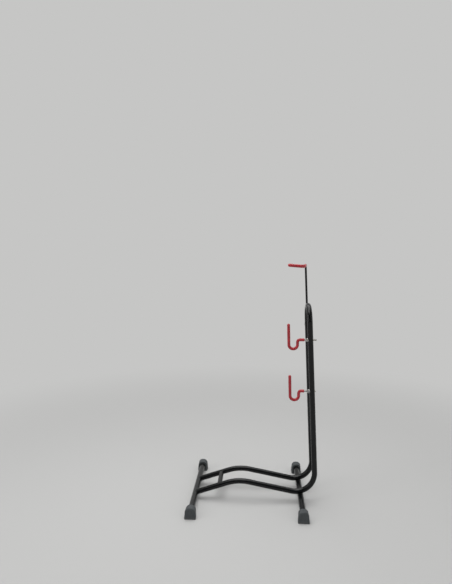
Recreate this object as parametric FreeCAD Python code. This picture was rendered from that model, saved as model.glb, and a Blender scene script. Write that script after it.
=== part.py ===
import FreeCAD, Part
import math
import os

# A floor stand of bent steel tube. One tube makes two side rails, two leaning columns and
# the arch between them. The rails lie on two crossbars with rubber boots, and a short tube
# joins them. Two J hooks screw through the near column. A rod slides and turns in the far
# column, a screw with a knob locks it there, and its top is bent to a hook.
#
# Millimetres. X runs from the rails' low end to the columns, Y from the near side to the
# far side, and Z up from the floor. The origin is on the floor under the middle of the box.

Vector = FreeCAD.Vector

# Fits
running_clearance = 0.05
loose_clearance = 0.3
face_clearance = 0.1

# Crossbars
crossbar_spacing = 398.0
crossbar_diameter = 22.0
crossbar_wall = 1.5
crossbar_height = 21.5

# Rubber boots
stance_width = 418.0
boot_length = 30.0
boot_floor_width = 42.0
boot_top_width = 34.0
boot_height = 42.0
boot_mouth_floor_width = 38.0
boot_mouth_top_width = 34.0
boot_mouth_height = 40.0
boot_top_corner = 16.0
boot_sole_corner = 1.5
boot_sole_trim = 0.3
boot_end_wall = 7.0
boot_side_round = 4.0
boot_top_round = 6.0

# Hoop tube
hoop_tube_diameter = 20.0
hoop_tube_wall = 1.5
hoop_width = 110.0
rail_rise_angle = 17.5
rail_fall_angle = 8.5
rail_end_height = 27.0
rail_end_setback = 4.0
rail_crest_radius = 250.0
corner_radius = 72.0
corner_seat_angle = 13.4
column_lean = 2.52
arch_top_height = 736.5

# Rest tube between the rails
tyre_rest_diameter = 12.0
tyre_rest_wall = 1.2
tyre_rest_setback = 92.0

# J hooks
hook_rod_diameter = 6.0
hook_sleeve_diameter = 11.0
hook_elbow_radius = 9.0
hook_throat_radius = 15.5
hook_drop = 34.0
hook_rise = 53.5
hook_upright_lean = 1.5
hook_bush_diameter = 10.0

# Each J hook: place of its shank, and from the column's axis the riser, the sleeve's start
# and the threaded end
upper_hook_drop = 119.5
upper_hook_reach = 47.0
upper_hook_sleeve_start = 22.0
upper_hook_tail = 22.0
lower_hook_height = 426.0
lower_hook_reach = 49.0
lower_hook_sleeve_start = 29.0
lower_hook_tail = 12.5

# Lock nut, flat washer and saddle washer
nut_across_flats = 10.0
nut_height = 5.0
nut_chamfer = 0.6
flat_washer_diameter = 13.0
flat_washer_thickness = 1.2
saddle_diameter = 14.0
saddle_thickness = 2.2
washer_hole_diameter = 6.4

# Extension rod and its hook
rod_diameter = 8.0
rod_top_rise = 149.5
rod_top_bend = 20.0
top_hook_run = 97.0
top_hook_skew = 13.5
top_hook_dip = 1.5
top_hook_bend = 25.0
top_hook_reach = 53.0
top_hook_lift = 4.5
top_sleeve_diameter = 12.0
top_sleeve_start = 24.0
rod_spigot_diameter = 6.0

# Guide plug, its clip and the bush in the arch
guide_drop = 148.5
guide_length = 20.0
guide_chamfer = 1.5
clip_diameter = 12.0
clip_thickness = 0.8
spigot_end = 1.5
bush_neck_diameter = 11.0
bush_lip_diameter = 14.0
bush_lip_thickness = 1.2
bush_inner_lip = 1.5

# Rod lock
lock_drop = 81.5
boss_diameter = 12.0
boss_height = 6.0
lock_screw_diameter = 6.0
pad_diameter = 5.5
pad_thickness = 2.5
pad_stem_diameter = 3.0
pad_stem_length = 3.0
knob_diameter = 19.0
knob_length = 12.0
knob_gap = 3.0
knob_grip_depth = 8.0
knob_scallops = 6
knob_scallop_radius = 3.0
knob_edge_chamfer = 1.0

near = -1
far = 1

# Places that follow from the sizes
hoop_radius = hoop_tube_diameter / 2
crossbar_radius = crossbar_diameter / 2
rod_radius = rod_diameter / 2
crossbar_x = crossbar_spacing / 2
side_y = hoop_width / 2
boot_end_y = stance_width / 2
lean = math.radians(column_lean)
rise = math.radians(rail_rise_angle)
fall = math.radians(rail_fall_angle)
seat = math.radians(corner_seat_angle)
column_axis = Vector(-math.sin(lean), 0, math.cos(lean))

# Heights that keep their distance from the arch
upper_hook_height = arch_top_height - upper_hook_drop
rod_top_height = arch_top_height + rod_top_rise
guide_top_height = arch_top_height - guide_drop
lock_height = arch_top_height - lock_drop

# The corner bend lies on top of the right crossbar
seat_distance = corner_radius + hoop_radius + crossbar_radius
corner_x = crossbar_x - seat_distance * math.sin(seat)
corner_z = crossbar_height + seat_distance * math.cos(seat)
column_base_x = corner_x + corner_radius / math.cos(lean)


def column_point(height, side):
    """The point of a column's axis at a height above the floor."""
    x = column_base_x - math.tan(lean) * (height - corner_z)
    return Vector(x, side * side_y, height)


def right_rail_height(x):
    """Height of the falling run's axis, which leaves the corner bend on a tangent."""
    start_x = corner_x - corner_radius * math.sin(fall)
    start_z = corner_z - corner_radius * math.cos(fall)
    return start_z + math.tan(fall) * (start_x - x)


def left_rail_height(x):
    """Height of the rising run's axis, which starts at the left crossbar."""
    return rail_end_height + math.tan(rise) * (x + crossbar_x)


def crest_point(side):
    """Where the two straight runs of a rail would meet."""
    gap = right_rail_height(0) - left_rail_height(0)
    x = gap / (math.tan(rise) + math.tan(fall))
    return Vector(x, side * side_y, left_rail_height(x))


def corner_point(side):
    """Where a rail's falling run would meet its column."""
    gap = column_base_x + math.tan(lean) * (corner_z - right_rail_height(0))
    x = gap / (1 - math.tan(lean) * math.tan(fall))
    return Vector(x, side * side_y, right_rail_height(x))


def rounded_edges(points, radii, closed=False):
    """Straight runs through the points, joined at each corner by a tangent arc."""
    count = len(points)
    inner = range(count) if closed else range(1, count - 1)
    corners = [i for i in inner if radii[i] > 0]
    entry = {}
    leave = {}
    arcs = {}
    for i in corners:
        corner = points[i]
        back = (points[i - 1] - corner).normalize()
        ahead = (points[(i + 1) % count] - corner).normalize()
        half = back.getAngle(ahead) / 2
        run = radii[i] / math.tan(half)
        middle = corner + (back + ahead).normalize() * (radii[i] / math.sin(half) - radii[i])
        entry[i] = corner + back * run
        leave[i] = corner + ahead * run
        arcs[i] = Part.Arc(entry[i], middle, leave[i]).toShape()
    edges = []
    for i in range(count if closed else count - 1):
        j = (i + 1) % count
        start = leave.get(i, points[i])
        end = entry.get(j, points[j])
        if (end - start).Length > 1e-6:
            edges.append(Part.LineSegment(start, end).toShape())
        if j in arcs:
            edges.append(arcs[j])
    return edges


def sweep(points, radii, diameter):
    """A round bar along straight runs and tangent arcs."""
    path = Part.Wire(rounded_edges(points, radii))
    direction = points[1] - points[0]
    ring = Part.Wire([Part.makeCircle(diameter / 2, points[0], direction)])
    return path.makePipeShell([ring], True, False)


def bar(start, end, diameter):
    """A straight round bar between two points."""
    along = end - start
    return Part.makeCylinder(diameter / 2, along.Length, start, along)


def column_bar(side, low, high, diameter):
    """A straight round bar on a column's axis, between two heights."""
    return bar(column_point(low, side), column_point(high, side), diameter)


def save_all(pieces):
    """Move the pieces until the origin is under the middle of their box, and write them."""
    box = Part.makeCompound(list(pieces.values())).optimalBoundingBox(False, False)
    print("origin", round(box.Center.x, 4), round(box.Center.y, 4), "box", box)
    for name, piece in pieces.items():
        piece.translate(Vector(-box.Center.x, 0, 0))
        piece.exportStep("parts/" + name + ".step")
        print(name, len(piece.Solids), piece.isValid(), round(piece.Volume))


def hoop_points():
    """Corner points of the hoop's centre line, from the near rail's end to the far one's."""
    end_x = -crossbar_x + rail_end_setback
    side_points = {}
    for side in (near, far):
        side_points[side] = [
            Vector(end_x, side * side_y, left_rail_height(end_x)),
            crest_point(side),
            corner_point(side),
            column_point(arch_top_height, side),
        ]
    return side_points[near] + side_points[far][::-1]


def hoop_radii():
    one_side = [0, rail_crest_radius, corner_radius, side_y]
    return one_side + one_side[::-1]


def arch_bar(diameter):
    """The arch alone, as a bar of any diameter on the hoop's centre line."""
    top = column_point(arch_top_height, near)
    other_top = column_point(arch_top_height, far)
    spring = top - column_axis * side_y
    other_spring = other_top - column_axis * side_y
    points = [spring, top, other_top, other_spring]
    return sweep(points, [0, side_y, side_y, 0], diameter)


def hook_line(height, reach, start_offset):
    """Corner points and radii of a J hook's centre line, from a point on its shank."""
    column = column_point(height, near)
    riser_x = column.x - reach
    upright_x = riser_x - 2 * hook_throat_radius
    top_x = upright_x - math.tan(math.radians(hook_upright_lean)) * (hook_drop + hook_rise)
    points = [
        Vector(column.x + start_offset, column.y, height),
        Vector(riser_x, column.y, height),
        Vector(riser_x, column.y, height - hook_drop),
        Vector(upright_x, column.y, height - hook_drop),
        Vector(top_x, column.y, height + hook_rise),
    ]
    radii = [0, hook_elbow_radius, hook_throat_radius, hook_throat_radius, 0]
    return points, radii


def build_hoop_frame():
    points = hoop_points()
    radii = hoop_radii()
    outside = sweep(points, radii, hoop_tube_diameter)
    inside = sweep(points, radii, hoop_tube_diameter - 2 * hoop_tube_wall)
    tube = outside.cut(inside)
    cope = bar(
        Vector(-crossbar_x, -boot_end_y, crossbar_height),
        Vector(-crossbar_x, boot_end_y, crossbar_height),
        crossbar_diameter,
    )
    tube = tube.cut(cope)
    for height in (upper_hook_height, lower_hook_height):
        column = column_point(height, near)
        across = Vector(hoop_tube_diameter, 0, 0)
        tube = tube.cut(bar(column - across, column + across, hook_bush_diameter))
    lock = column_point(lock_height, far)
    outward = Vector(0, hoop_tube_diameter, 0)
    screw_hole = lock_screw_diameter + 2 * running_clearance
    tube = tube.cut(bar(lock, lock + outward, screw_hole))
    spring_height = arch_top_height - side_y
    above = arch_top_height + side_y
    return tube.cut(column_bar(far, spring_height, above, bush_neck_diameter))


def build_crossbar(side_x):
    end_y = boot_end_y - boot_end_wall - face_clearance
    start = Vector(side_x, -end_y, crossbar_height)
    end = Vector(side_x, end_y, crossbar_height)
    bore = crossbar_diameter - 2 * crossbar_wall
    return bar(start, end, crossbar_diameter).cut(bar(start, end, bore))


def boot_section(y, floor_width, top_width, height):
    """A section of a boot, square to the crossbar: an arch that spreads to the sole."""
    points = [
        Vector(-floor_width / 2, y, -boot_sole_trim),
        Vector(floor_width / 2, y, -boot_sole_trim),
        Vector(top_width / 2, y, height),
        Vector(-top_width / 2, y, height),
    ]
    # The two top corners take no more than the width between them
    top_corner = min(boot_top_corner, top_width / 2)
    radii = [boot_sole_corner, boot_sole_corner, top_corner, top_corner]
    return Part.Wire(rounded_edges(points, radii, closed=True))


def build_boot_envelope(mouth_y):
    """A block with the round plan and the round top edge of a boot's outer end."""
    half = boot_floor_width / 2
    plan_points = [
        Vector(-half, mouth_y, 0),
        Vector(half, mouth_y, 0),
        Vector(half, boot_end_y, 0),
        Vector(-half, boot_end_y, 0),
    ]
    plan_radii = [0, 0, boot_side_round, boot_side_round]
    plan = Part.Wire(rounded_edges(plan_points, plan_radii, closed=True))
    side_points = [
        Vector(-half, mouth_y, 0),
        Vector(-half, boot_end_y, 0),
        Vector(-half, boot_end_y, boot_height),
        Vector(-half, mouth_y, boot_height),
    ]
    side_outline = Part.Wire(rounded_edges(side_points, [0, 0, boot_top_round, 0], closed=True))
    upright = Part.Face(plan).extrude(Vector(0, 0, boot_height))
    across = Part.Face(side_outline).extrude(Vector(boot_floor_width, 0, 0))
    return upright.common(across)


def build_boot(side_x, side):
    """A boot: an arched block with a socket for the crossbar and a closed outer end."""
    # The sections run a little below the floor, and the envelope trims them to a flat sole
    mouth_y = boot_end_y - boot_length
    mouth = boot_section(mouth_y, boot_mouth_floor_width, boot_mouth_top_width, boot_mouth_height)
    end = boot_section(boot_end_y, boot_floor_width, boot_top_width, boot_height)
    solid = Part.makeLoft([mouth, end], True, True)
    solid = solid.common(build_boot_envelope(mouth_y))
    socket = bar(
        Vector(0, mouth_y - boot_length, crossbar_height),
        Vector(0, boot_end_y - boot_end_wall, crossbar_height),
        crossbar_diameter + 2 * running_clearance,
    )
    solid = solid.cut(socket)
    if side == near:
        solid = solid.mirror(Vector(0, 0, 0), Vector(0, 1, 0))
    solid.translate(Vector(side_x, 0, 0))
    return solid


def build_tyre_rest():
    x = -crossbar_x + tyre_rest_setback
    height = left_rail_height(x)
    start = Vector(x, -side_y, height)
    end = Vector(x, side_y, height)
    bore = tyre_rest_diameter - 2 * tyre_rest_wall
    tube = bar(start, end, tyre_rest_diameter).cut(bar(start, end, bore))
    for side in (near, far):
        points = [
            Vector(-crossbar_x, side * side_y, left_rail_height(-crossbar_x)),
            Vector(0, side * side_y, left_rail_height(0)),
        ]
        tube = tube.cut(bar(points[0], points[1], hoop_tube_diameter))
    return tube


def build_hook_bush(height):
    """A threaded bush through the near column, flush with it on both sides."""
    column = column_point(height, near)
    across = Vector(hoop_tube_diameter, 0, 0)
    bush = bar(column - across, column + across, hook_bush_diameter)
    flush = column_bar(near, height - hoop_radius, height + hoop_radius, hoop_tube_diameter)
    hole = bar(column - across, column + across, hook_rod_diameter + 2 * running_clearance)
    return bush.common(flush).cut(hole)


def build_hook_rod(height, reach, tail):
    points, radii = hook_line(height, reach, tail)
    return sweep(points, radii, hook_rod_diameter)


def build_hook_sleeve(height, reach, sleeve_start, rod):
    points, radii = hook_line(height, reach, -sleeve_start)
    cover = sweep(points, radii, hook_sleeve_diameter)
    tip = Part.makeSphere(hook_sleeve_diameter / 2, points[-1])
    return cover.fuse(tip).cut(rod).removeSplitter()


def shank_point(height, offset):
    """A point of a J hook's shank, at an offset to the left of the column's axis."""
    column = column_point(height, near)
    return Vector(column.x - offset, column.y, height)


def build_saddle_washer(height):
    """A washer whose right side follows the column's round."""
    left = hoop_radius + loose_clearance + saddle_thickness
    washer = bar(shank_point(height, left), shank_point(height, 0), saddle_diameter)
    hole = bar(shank_point(height, left), shank_point(height, 0), washer_hole_diameter)
    low = height - saddle_diameter
    high = height + saddle_diameter
    round_side = column_bar(near, low, high, hoop_tube_diameter + 2 * loose_clearance)
    return washer.cut(round_side).cut(hole)


def flat_washer_offset():
    return hoop_radius + loose_clearance + saddle_thickness + face_clearance


def build_flat_washer(height):
    right = flat_washer_offset()
    start = shank_point(height, right)
    end = shank_point(height, right + flat_washer_thickness)
    return bar(start, end, flat_washer_diameter).cut(bar(start, end, washer_hole_diameter))


def build_lock_nut(height):
    """A hexagon nut with chamfered corners on both faces."""
    right = flat_washer_offset() + flat_washer_thickness + face_clearance
    start = shank_point(height, right)
    end = shank_point(height, right + nut_height)
    corner = nut_across_flats / math.sqrt(3)
    flat = nut_across_flats / 2
    ring = []
    for i in range(7):
        angle = math.radians(60 * i)
        ring.append(start + Vector(0, corner * math.cos(angle), corner * math.sin(angle)))
    hexagon = Part.Face(Part.makePolygon(ring)).extrude(end - start)
    left = Vector(-1, 0, 0)
    middle = start + left * nut_chamfer
    middle_length = nut_height - 2 * nut_chamfer
    body = Part.makeCylinder(corner, middle_length, middle, left)
    inner_cone = Part.makeCone(flat, corner, nut_chamfer, start, left)
    cone_start = middle + left * middle_length
    outer_cone = Part.makeCone(corner, flat, nut_chamfer, cone_start, left)
    nut = hexagon.common(body.fuse([inner_cone, outer_cone]))
    return nut.cut(bar(start, end, hook_rod_diameter + 2 * running_clearance))


def rod_hook_points():
    """Corner points of the extension rod above its straight length."""
    top = column_point(rod_top_height, far)
    bend = top + Vector(-top_hook_skew, -top_hook_run, -top_hook_dip)
    tip = bend + Vector(-top_hook_reach, 0, top_hook_lift)
    return top, bend, tip


def build_extension_rod():
    top, bend, tip = rod_hook_points()
    foot_height = guide_top_height + face_clearance
    foot = column_point(foot_height, far)
    rod = sweep([foot, top, bend, tip], [0, rod_top_bend, top_hook_bend, 0], rod_diameter)
    spigot_length = guide_length + 2 * face_clearance + clip_thickness + spigot_end
    spigot = bar(foot - column_axis * spigot_length, foot, rod_spigot_diameter)
    return rod.fuse(spigot).removeSplitter()


def build_top_hook_sleeve(rod):
    top, bend, tip = rod_hook_points()
    start = top + (bend - top).normalize() * top_sleeve_start
    cover = sweep([start, bend, tip], [0, top_hook_bend, 0], top_sleeve_diameter)
    end = Part.makeSphere(top_sleeve_diameter / 2, tip)
    return cover.fuse(end).cut(rod).removeSplitter()


def build_rod_guide():
    """A plug that slides in the far column and turns on the rod's spigot."""
    bore = hoop_tube_diameter - 2 * hoop_tube_wall
    radius = bore / 2 - running_clearance
    top = column_point(guide_top_height, far)
    low = top - column_axis * guide_length
    straight = guide_length - 2 * guide_chamfer
    small = radius - guide_chamfer
    plug = Part.makeCylinder(radius, straight, low + column_axis * guide_chamfer, column_axis)
    lower_cone = Part.makeCone(small, radius, guide_chamfer, low, column_axis)
    cone_start = top - column_axis * guide_chamfer
    upper_cone = Part.makeCone(radius, small, guide_chamfer, cone_start, column_axis)
    hole = bar(low, top, rod_spigot_diameter + 2 * running_clearance)
    return plug.fuse([lower_cone, upper_cone]).removeSplitter().cut(hole)


def build_rod_clip():
    top = column_point(guide_top_height, far)
    high = top - column_axis * (guide_length + face_clearance)
    low = high - column_axis * clip_thickness
    return bar(low, high, clip_diameter).cut(bar(low, high, rod_spigot_diameter))


def build_rod_bush():
    """A snap-in bush whose neck and lips follow the round of the arch."""
    low = arch_top_height - side_y
    high = arch_top_height + side_y
    tube = arch_bar(hoop_tube_diameter)
    bore = arch_bar(hoop_tube_diameter - 2 * hoop_tube_wall - 2 * bush_inner_lip)
    crown = arch_bar(hoop_tube_diameter + 2 * bush_lip_thickness)
    neck = column_bar(far, low, high, bush_neck_diameter).common(crown).cut(bore)
    lip = column_bar(far, low, high, bush_lip_diameter).common(crown).cut(tube)
    hole = column_bar(far, low, high, rod_diameter + 2 * running_clearance)
    return neck.fuse(lip).removeSplitter().cut(hole)


def build_lock_boss():
    column = column_point(lock_height, far)
    top = column + Vector(0, hoop_radius + boss_height, 0)
    boss = bar(column, top, boss_diameter)
    low = lock_height - boss_diameter
    high = lock_height + boss_diameter
    tube = column_bar(far, low, high, hoop_tube_diameter)
    hole = bar(column, top, lock_screw_diameter + 2 * running_clearance)
    return boss.cut(tube).cut(hole)


def lock_places():
    """Y of the pad's tip, the pad's back, the screw's end and the knob's face."""
    tip_y = side_y + rod_radius + loose_clearance
    back_y = tip_y + pad_thickness
    screw_y = back_y + face_clearance
    knob_y = side_y + hoop_radius + boss_height + knob_gap
    return tip_y, back_y, screw_y, knob_y


def lock_point(y):
    column = column_point(lock_height, far)
    return Vector(column.x, y, lock_height)


def build_lock_pad():
    tip_y, back_y, screw_y, knob_y = lock_places()
    disc = bar(lock_point(tip_y), lock_point(back_y), pad_diameter)
    stem = bar(lock_point(back_y), lock_point(back_y + pad_stem_length), pad_stem_diameter)
    return disc.fuse(stem).removeSplitter()


def build_lock_screw():
    tip_y, back_y, screw_y, knob_y = lock_places()
    end_y = knob_y + knob_grip_depth
    shank = bar(lock_point(screw_y), lock_point(end_y), lock_screw_diameter)
    pocket_y = back_y + pad_stem_length + face_clearance
    pocket_diameter = pad_stem_diameter + 2 * running_clearance
    pocket = bar(lock_point(screw_y), lock_point(pocket_y), pocket_diameter)
    return shank.cut(pocket)


def build_lock_knob():
    tip_y, back_y, screw_y, knob_y = lock_places()
    start = lock_point(knob_y)
    outward = Vector(0, 1, 0)
    radius = knob_diameter / 2
    straight = knob_length - 2 * knob_edge_chamfer
    small = radius - knob_edge_chamfer
    middle_start = start + outward * knob_edge_chamfer
    knob = Part.makeCylinder(radius, straight, middle_start, outward)
    inner_cone = Part.makeCone(small, radius, knob_edge_chamfer, start, outward)
    cone_start = middle_start + outward * straight
    outer_cone = Part.makeCone(radius, small, knob_edge_chamfer, cone_start, outward)
    knob = knob.fuse([inner_cone, outer_cone]).removeSplitter()
    for i in range(knob_scallops):
        angle = 2 * math.pi * i / knob_scallops
        offset = Vector(math.cos(angle), 0, math.sin(angle)) * (radius + knob_scallop_radius / 2)
        groove_start = start + offset
        groove_end = groove_start + outward * knob_length
        knob = knob.cut(bar(groove_start, groove_end, 2 * knob_scallop_radius))
    grip = bar(start, start + outward * knob_grip_depth, lock_screw_diameter)
    return knob.cut(grip)


def build_hook(height, reach, sleeve_start, tail):
    """All the pieces of one J hook, by name."""
    rod = build_hook_rod(height, reach, tail)
    return {
        "hook_rod": rod,
        "hook_sleeve": build_hook_sleeve(height, reach, sleeve_start, rod),
        "hook_bush": build_hook_bush(height),
        "saddle_washer": build_saddle_washer(height),
        "flat_washer": build_flat_washer(height),
        "lock_nut": build_lock_nut(height),
    }


def main():
    os.makedirs("parts", exist_ok=True)
    rod = build_extension_rod()
    pieces = {
        "hoop_frame": build_hoop_frame(),
        "left_crossbar": build_crossbar(-crossbar_x),
        "right_crossbar": build_crossbar(crossbar_x),
        "near_left_boot": build_boot(-crossbar_x, near),
        "far_left_boot": build_boot(-crossbar_x, far),
        "near_right_boot": build_boot(crossbar_x, near),
        "far_right_boot": build_boot(crossbar_x, far),
        "tyre_rest": build_tyre_rest(),
        "extension_rod": rod,
        "top_hook_sleeve": build_top_hook_sleeve(rod),
        "rod_guide": build_rod_guide(),
        "rod_clip": build_rod_clip(),
        "rod_bush": build_rod_bush(),
        "lock_boss": build_lock_boss(),
        "lock_pad": build_lock_pad(),
        "lock_screw": build_lock_screw(),
        "lock_knob": build_lock_knob(),
    }
    upper = build_hook(
        upper_hook_height, upper_hook_reach, upper_hook_sleeve_start, upper_hook_tail
    )
    lower = build_hook(
        lower_hook_height, lower_hook_reach, lower_hook_sleeve_start, lower_hook_tail
    )
    for name, piece in upper.items():
        pieces["upper_" + name] = piece
    for name, piece in lower.items():
        pieces["lower_" + name] = piece
    save_all(pieces)


main()
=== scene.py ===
import math

import bpy
import numpy as np
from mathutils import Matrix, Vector


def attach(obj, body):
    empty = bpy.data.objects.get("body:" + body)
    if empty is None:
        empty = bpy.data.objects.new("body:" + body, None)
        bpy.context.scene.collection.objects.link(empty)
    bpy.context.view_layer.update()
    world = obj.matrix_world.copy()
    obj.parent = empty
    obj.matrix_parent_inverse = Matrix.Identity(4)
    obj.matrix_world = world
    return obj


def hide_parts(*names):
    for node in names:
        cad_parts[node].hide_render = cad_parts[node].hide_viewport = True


# A floor stand: one bent tube on two crossbars, a rest tube between its rails, four rubber
# boots, two J hooks that screw through the near column, and a rod with a bent hook that slides
# in the far column. Each surface is a grid of rings worked out from the stand's own sizes. The
# surfaces take the place of the CAD pieces, and add threads, weld beads, rolled edges, the
# waves of the vinyl and the look of each finish. The rails' crest and the rest tube's width
# are nearer to the photograph here than in the CAD pieces.

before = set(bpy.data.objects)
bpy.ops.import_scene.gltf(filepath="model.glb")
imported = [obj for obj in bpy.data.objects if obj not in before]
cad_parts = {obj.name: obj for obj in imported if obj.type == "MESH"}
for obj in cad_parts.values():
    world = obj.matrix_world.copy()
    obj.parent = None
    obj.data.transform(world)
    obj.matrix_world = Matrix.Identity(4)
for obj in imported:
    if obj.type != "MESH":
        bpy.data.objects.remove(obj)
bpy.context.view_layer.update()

# Sizes in millimetres. X is counted from the middle between the crossbars, and stand_middle
# is the place of that middle in the row frame.
stand_middle = -19.8772
near = -1
far = 1

crossbar_x = 199.0
crossbar_radius = 11.0
crossbar_wall = 1.5
crossbar_height = 21.5
crossbar_end = 201.9

boot_length = 30.0
boot_end = 209.0
boot_floor_width = 42.0
boot_top_width = 34.0
boot_height = 42.0
boot_mouth_floor_width = 38.0
boot_mouth_top_width = 34.0
boot_mouth_height = 40.0
boot_top_corner = 16.0
boot_sole_corner = 1.5
boot_side_round = 4.0
boot_top_round = 6.0
boot_mouth_round = 1.2
groove_count = 5
groove_pitch = 5.0
groove_depth = 0.8
groove_reach = 1.6
groove_half_length = 16.0
groove_fade = 1.5

hoop_radius = 10.0
hoop_bore = 8.5
side_y = 55.0
arch_radius = 55.0
rise = math.radians(19.0)
fall = math.radians(10.6)
lean = math.radians(2.52)
seat = math.radians(13.4)
rail_end_height = 23.5
rail_end_setback = 4.0
crest_radius = 170.0
corner_radius = 72.0
arch_height = 736.5

tyre_rest_x = -107.0
tyre_rest_radius = 9.0

bead_pitch = 2.2
bead_swell = 0.05
rail_end_bead_radius = 1.7
seat_bead_radius = 2.1
seat_bead_half_length = 8.5
seat_bead_lift = 0.9
seat_bead_offset = 6.2
rest_bead_radius = 1.1
boss_bead_radius = 1.0

hook_rod_radius = 3.0
hook_sleeve_radius = 5.5
hook_elbow = 9.0
hook_throat = 15.5
hook_drop = 34.0
hook_rise = 53.5
hook_lean = math.radians(1.5)
hook_bush_radius = 5.0
hook_bush_proud = 0.25
hook_sleeve_waves = (9.0, 4.1, 1.0)
hook_sleeve_roll = 1.1
hook_sizes = {
    "upper": {"height": 617.0, "reach": 47.0, "sleeve_start": 22.0, "tail": 22.0},
    "lower": {"height": 426.0, "reach": 49.0, "sleeve_start": 29.0, "tail": 12.5},
}
saddle_gap = 0.3
saddle_thickness = 2.2
saddle_radius = 7.0
washer_hole = 3.2
washer_radius = 6.5
washer_thickness = 1.2
face_gap = 0.1
nut_flat = 5.0
nut_height = 5.0
thread_pitch = 1.0
thread_depth = 0.55
thread_point = 0.7
thread_step = 0.1

rod_radius = 4.0
rod_top = 886.0
rod_top_bend = 20.0
top_hook_run = 97.0
top_hook_skew = 13.5
top_hook_dip = 1.5
top_hook_bend = 25.0
top_hook_reach = 53.0
top_hook_lift = 4.5
top_sleeve_radius = 6.0
top_sleeve_start = 24.0
top_sleeve_waves = (8.0, 3.7, 2.0)
top_sleeve_roll = 1.2
sleeve_long_swing = 0.06
sleeve_short_swing = 0.04
spigot_radius = 3.0
spigot_length = 22.5
rod_foot = 588.1

bush_lip_radius = 7.0
bush_lip_rise = 1.2
bush_lip_floor = 9.2

lock_height = 655.0
boss_radius = 6.0
boss_height = 6.0
boss_floor = 6.0
knob_start = 74.0
knob_radius = 9.5
knob_length = 12.0
knob_scallop = 3.0
knob_scallops = 6
knob_edge = 1.0
knob_dish = 0.5
lock_screw_start = 61.9
lock_screw_end = 80.0
lock_screw_radius = 3.0
lock_bore_floor = 4.15
lock_bore_radius = 3.05

# Edges that turn by more than these angles, in degrees, are shaded sharp
tube_edge = 38
bead_edge = 60
boot_edge = 50
fitting_edge = 32

X = np.array([1.0, 0.0, 0.0])
Y = np.array([0.0, 1.0, 0.0])
Z = np.array([0.0, 0.0, 1.0])
column_up = np.array([-math.sin(lean), 0.0, math.cos(lean)])

# The corner bends lie on top of the right crossbar, and the columns rise from them
seat_distance = corner_radius + hoop_radius + crossbar_radius
corner_x = crossbar_x - seat_distance * math.sin(seat)
corner_z = crossbar_height + seat_distance * math.cos(seat)
column_x = corner_x + corner_radius / math.cos(lean)

# Distances from the near column's axis to what each hook carries
saddle_follow = hoop_radius + saddle_gap
saddle_back = saddle_follow + saddle_thickness
washer_start = saddle_back + face_gap
nut_start = washer_start + washer_thickness + face_gap


def column_point(height, side):
    """The point of a column's axis at a height above the floor."""
    return np.array([column_x - math.tan(lean) * (height - corner_z), side * side_y, height])


def lock_axis(y):
    """The lock screw's axis at a place across the stand."""
    return np.array([column_point(lock_height, far)[0], y, lock_height])


def left_rail_height(x):
    """Height of the rising run's axis."""
    return rail_end_height + math.tan(rise) * (x + crossbar_x)


def right_rail_height(x):
    """Height of the falling run's axis, a tangent of the corner bend."""
    start_x = corner_x - corner_radius * math.sin(fall)
    start_z = corner_z - corner_radius * math.cos(fall)
    return start_z + math.tan(fall) * (start_x - x)


def unit(vectors):
    """Vectors over their own lengths."""
    return vectors / np.linalg.norm(vectors, axis=-1, keepdims=True)


def sloped(angle):
    """Directions to the right along a slope, and up square to it."""
    along = np.array([math.cos(angle), 0, math.sin(angle)])
    return along, np.array([-along[2], 0, along[0]])


# Lines and grids


def rounded_line(corners, radii, arc_steps=40, run_steps=16):
    """Places and directions along straight runs joined by tangent arcs. Where the line turns
    by an angle T, an arc of radius R starts R * tan(T / 2) before the corner. At an angle t
    along the arc, the line has gone R * sin(t) forward and R * (1 - cos(t)) to the inside,
    and its direction is cos(t) forward and sin(t) to the inside."""
    corners = np.array(corners, float)
    ways = unit(np.diff(corners, axis=0))
    places = []
    directions = []
    start = corners[0]
    for i in range(1, len(corners) - 1):
        behind = ways[i - 1]
        ahead = ways[i]
        turn = math.acos(np.clip(behind @ ahead, -1, 1))
        inside = unit(ahead - behind * math.cos(turn))
        entry = corners[i] - behind * radii[i] * math.tan(turn / 2)
        step = np.linspace(0, 1, run_steps, endpoint=False)[:, None]
        places.append(start + (entry - start) * step)
        directions.append(np.repeat(behind[None], run_steps, 0))
        t = np.linspace(0, turn, arc_steps + 1)[:, None]
        arc = entry + radii[i] * (np.sin(t) * behind + (1 - np.cos(t)) * inside)
        places.append(arc[:-1])
        directions.append((np.cos(t) * behind + np.sin(t) * inside)[:-1])
        start = arc[-1]
    step = np.linspace(0, 1, run_steps)[:, None]
    places.append(start + (corners[-1] - start) * step)
    directions.append(np.repeat(ways[-1:], run_steps, 0))
    places = np.vstack(places)
    directions = np.vstack(directions)
    gaps = np.linalg.norm(np.diff(places, axis=0), axis=1)
    kept = np.concatenate([[True], gaps > 1e-6])
    return places[kept], directions[kept]


def distances(places):
    """Length of the line from its start to each place."""
    return np.concatenate([[0], np.cumsum(np.linalg.norm(np.diff(places, axis=0), axis=1))])


def ring_angles(sides):
    """Equal angles round a ring, from 0."""
    return np.arange(sides) * 2 * np.pi / sides


def carried(places, directions, side, radii, sides=64):
    """A ring at each place, square to the line. A ring's point at the angle a lies at its
    radius times (cos(a) first + sin(a) second), where first is the side vector made square
    to the direction, and second is the direction crossed with first."""
    along = np.sum(side * directions, axis=1, keepdims=True)
    first = unit(side - along * directions)[:, None]
    second = np.cross(directions, first[:, 0])[:, None]
    angle = ring_angles(sides)
    radii = np.asarray(radii, float)
    if radii.ndim < 2:
        radii = radii.reshape(-1, 1)
    radii = np.broadcast_to(radii, (len(places), sides))[..., None]
    around = np.cos(angle)[None, :, None] * first + np.sin(angle)[None, :, None] * second
    return places[:, None] + radii * around


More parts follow.
